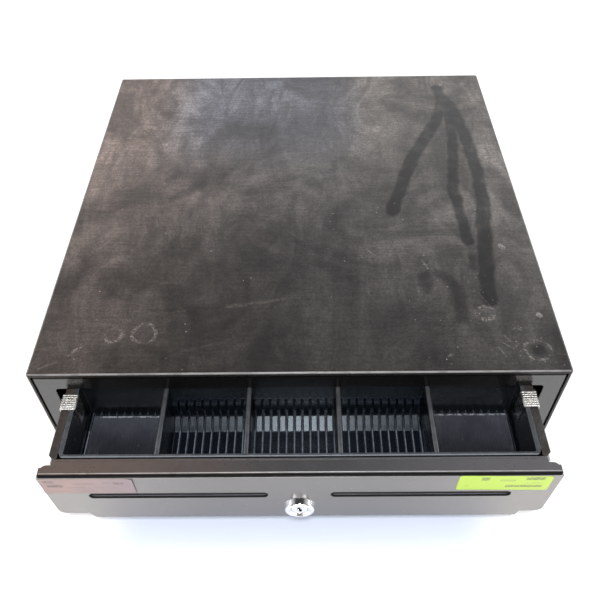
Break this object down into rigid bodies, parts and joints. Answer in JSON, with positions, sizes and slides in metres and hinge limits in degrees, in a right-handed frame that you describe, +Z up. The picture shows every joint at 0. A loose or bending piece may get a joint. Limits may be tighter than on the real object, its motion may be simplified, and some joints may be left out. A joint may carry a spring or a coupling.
{
  "type": "cash drawer",
  "caption": "Flat steel cash drawer standing part open, with a divided black till, media slots and a keyed lock in its front.",
  "frame": {"origin": "on the table under the middle of the object's box, with the drawer standing open as stored", "axes": "+X to the right as seen by the user in front of the drawer, +Y towards the back, +Z up"},
  "size_m": [0.4128, 0.4998, 0.1],
  "materials": {
    "cover_paint": "satin",
    "front_paint": "satin",
    "ledge_paint": "satin",
    "zinc_sheet": "satin",
    "rail_steel": "polished",
    "ball_steel": "polished",
    "screw_zinc": "satin",
    "lock_chrome": "polished",
    "clip_steel": "brushed",
    "till_plastic": "gloss",
    "mat_plastic": "gloss",
    "plate_plastic": "gloss",
    "chute_plastic": "matte",
    "black_plastic": "matte",
    "rubber": "matte",
    "coil_tape": "matte",
    "spring_steel": "satin",
    "contact_gold": "polished",
    "label_pink": "matte",
    "label_lime": "matte"
  },
  "bodies": {
    "casing": {"top_cover": "cover_paint", "base_chassis": "cover_paint", "front_frame": "front_paint", "rear_panel": "cover_paint", "rubber_feet": "rubber", "foot_screws": "screw_zinc", "foot_nuts": "screw_zinc", "cover_screws": "screw_zinc", "floor_screws": "screw_zinc", "lock_keeper": "zinc_sheet", "connector_socket": "black_plastic", "socket_contacts": "contact_gold", "rail_brackets": "zinc_sheet", "outer_rails": "rail_steel", "rail_screws": "screw_zinc", "latch_bracket": "zinc_sheet", "latch_pivot_pin": "rail_steel", "latch_spring": "spring_steel", "solenoid_frame": "zinc_sheet", "solenoid_coil": "coil_tape", "solenoid_screws": "screw_zinc", "switch_bracket": "zinc_sheet", "switch_body": "black_plastic", "ejector_bracket": "zinc_sheet", "ejector_pin": "rail_steel", "ejector_spring": "spring_steel"},
    "drawer": {"drawer_pan": "cover_paint", "drawer_front_panel": "front_paint", "drawer_ledge": "ledge_paint", "media_chutes": "chute_plastic", "till_shelves": "zinc_sheet", "striker": "zinc_sheet", "drawer_screws": "screw_zinc", "label_left": "label_pink", "label_right": "label_lime", "lock_barrel": "lock_chrome", "lock_nut": "screw_zinc", "inner_rails": "rail_steel", "rail_rivets": "rail_steel", "till_tray": "till_plastic", "coin_mats": "mat_plastic", "floor_plates": "plate_plastic", "till_clips": "clip_steel", "note_clip_brackets": "clip_steel"},
    "cage_left": {"ball_cage_left": "zinc_sheet", "bearing_balls_left": "ball_steel"},
    "cage_right": {"ball_cage_right": "zinc_sheet", "bearing_balls_right": "ball_steel"},
    "key_plug": {"lock_plug": "lock_chrome", "lock_cam": "zinc_sheet", "cam_screw": "screw_zinc"},
    "latch": {"latch_lever": "zinc_sheet", "latch_link_pin": "rail_steel"},
    "plunger": {"solenoid_plunger": "rail_steel"},
    "switch_leaf": {"switch_lever": "spring_steel"},
    "note_arm_1": {"note_clip_1": "chute_plastic"},
    "note_arm_2": {"note_clip_2": "chute_plastic"},
    "note_arm_3": {"note_clip_3": "chute_plastic"},
    "note_arm_4": {"note_clip_4": "chute_plastic"},
    "note_arm_5": {"note_clip_5": "chute_plastic"}
  },
  "joints": [
    {"name": "drawer_slide", "type": "slide", "parent": "casing", "child": "drawer", "axis": [0, -1, 0], "range_m": [-0.073, 0.187], "deforming": ["ejector_spring"]},
    {"name": "cage_left_slide", "type": "slide", "parent": "casing", "child": "cage_left", "axis": [0, -1, 0], "range_m": [-0.0365, 0.0935]},
    {"name": "cage_right_slide", "type": "slide", "parent": "casing", "child": "cage_right", "axis": [0, -1, 0], "range_m": [-0.0365, 0.0935]},
    {"name": "key_turn", "type": "hinge", "parent": "drawer", "child": "key_plug", "pos_m": [0, -0.2327, 0.034], "axis": [0, 1, 0], "range_deg": [0, 90]},
    {"name": "latch_pivot", "type": "hinge", "parent": "casing", "child": "latch", "pos_m": [0, 0.2311, 0.052], "axis": [-1, 0, 0], "range_deg": [0, 18], "deforming": ["latch_spring"]},
    {"name": "plunger_slide", "type": "slide", "parent": "casing", "child": "plunger", "axis": [0, 0, 1], "range_m": [0, 0.00363], "stiffness_N_per_m": 224, "springref_m": -0.0046},
    {"name": "switch_press", "type": "hinge", "parent": "casing", "child": "switch_leaf", "pos_m": [-0.073, 0.2043, 0.049], "axis": [0, 0, 1], "range_deg": [0, 2.5], "stiffness_Nm_per_rad": 0.02, "springref_deg": -5.73},
    {"name": "note_arm_1_lift", "type": "hinge", "parent": "drawer", "child": "note_arm_1", "pos_m": [-0.1356, 0.0111, 0.063], "axis": [-1, 0, 0], "range_deg": [0, 40], "stiffness_Nm_per_rad": 0.02, "springref_deg": -22.92},
    {"name": "note_arm_2_lift", "type": "hinge", "parent": "drawer", "child": "note_arm_2", "pos_m": [-0.07, 0.0111, 0.063], "axis": [-1, 0, 0], "range_deg": [0, 40], "stiffness_Nm_per_rad": 0.02, "springref_deg": -22.92},
    {"name": "note_arm_3_lift", "type": "hinge", "parent": "drawer", "child": "note_arm_3", "pos_m": [-0.004, 0.0111, 0.063], "axis": [-1, 0, 0], "range_deg": [0, 40], "stiffness_Nm_per_rad": 0.02, "springref_deg": -22.92},
    {"name": "note_arm_4_lift", "type": "hinge", "parent": "drawer", "child": "note_arm_4", "pos_m": [0.06425, 0.0111, 0.063], "axis": [-1, 0, 0], "range_deg": [0, 40], "stiffness_Nm_per_rad": 0.02, "springref_deg": -22.92},
    {"name": "note_arm_5_lift", "type": "hinge", "parent": "drawer", "child": "note_arm_5", "pos_m": [0.13385, 0.0111, 0.063], "axis": [-1, 0, 0], "range_deg": [0, 40], "stiffness_Nm_per_rad": 0.02, "springref_deg": -22.92}
  ],
  "couplings": [
    {"joint": "cage_left_slide", "follows": "drawer_slide", "ratio": 0.5},
    {"joint": "cage_right_slide", "follows": "drawer_slide", "ratio": 0.5},
    {"joint": "latch_pivot", "follows": "plunger_slide", "rad_per_m": 86.43}
  ]
}
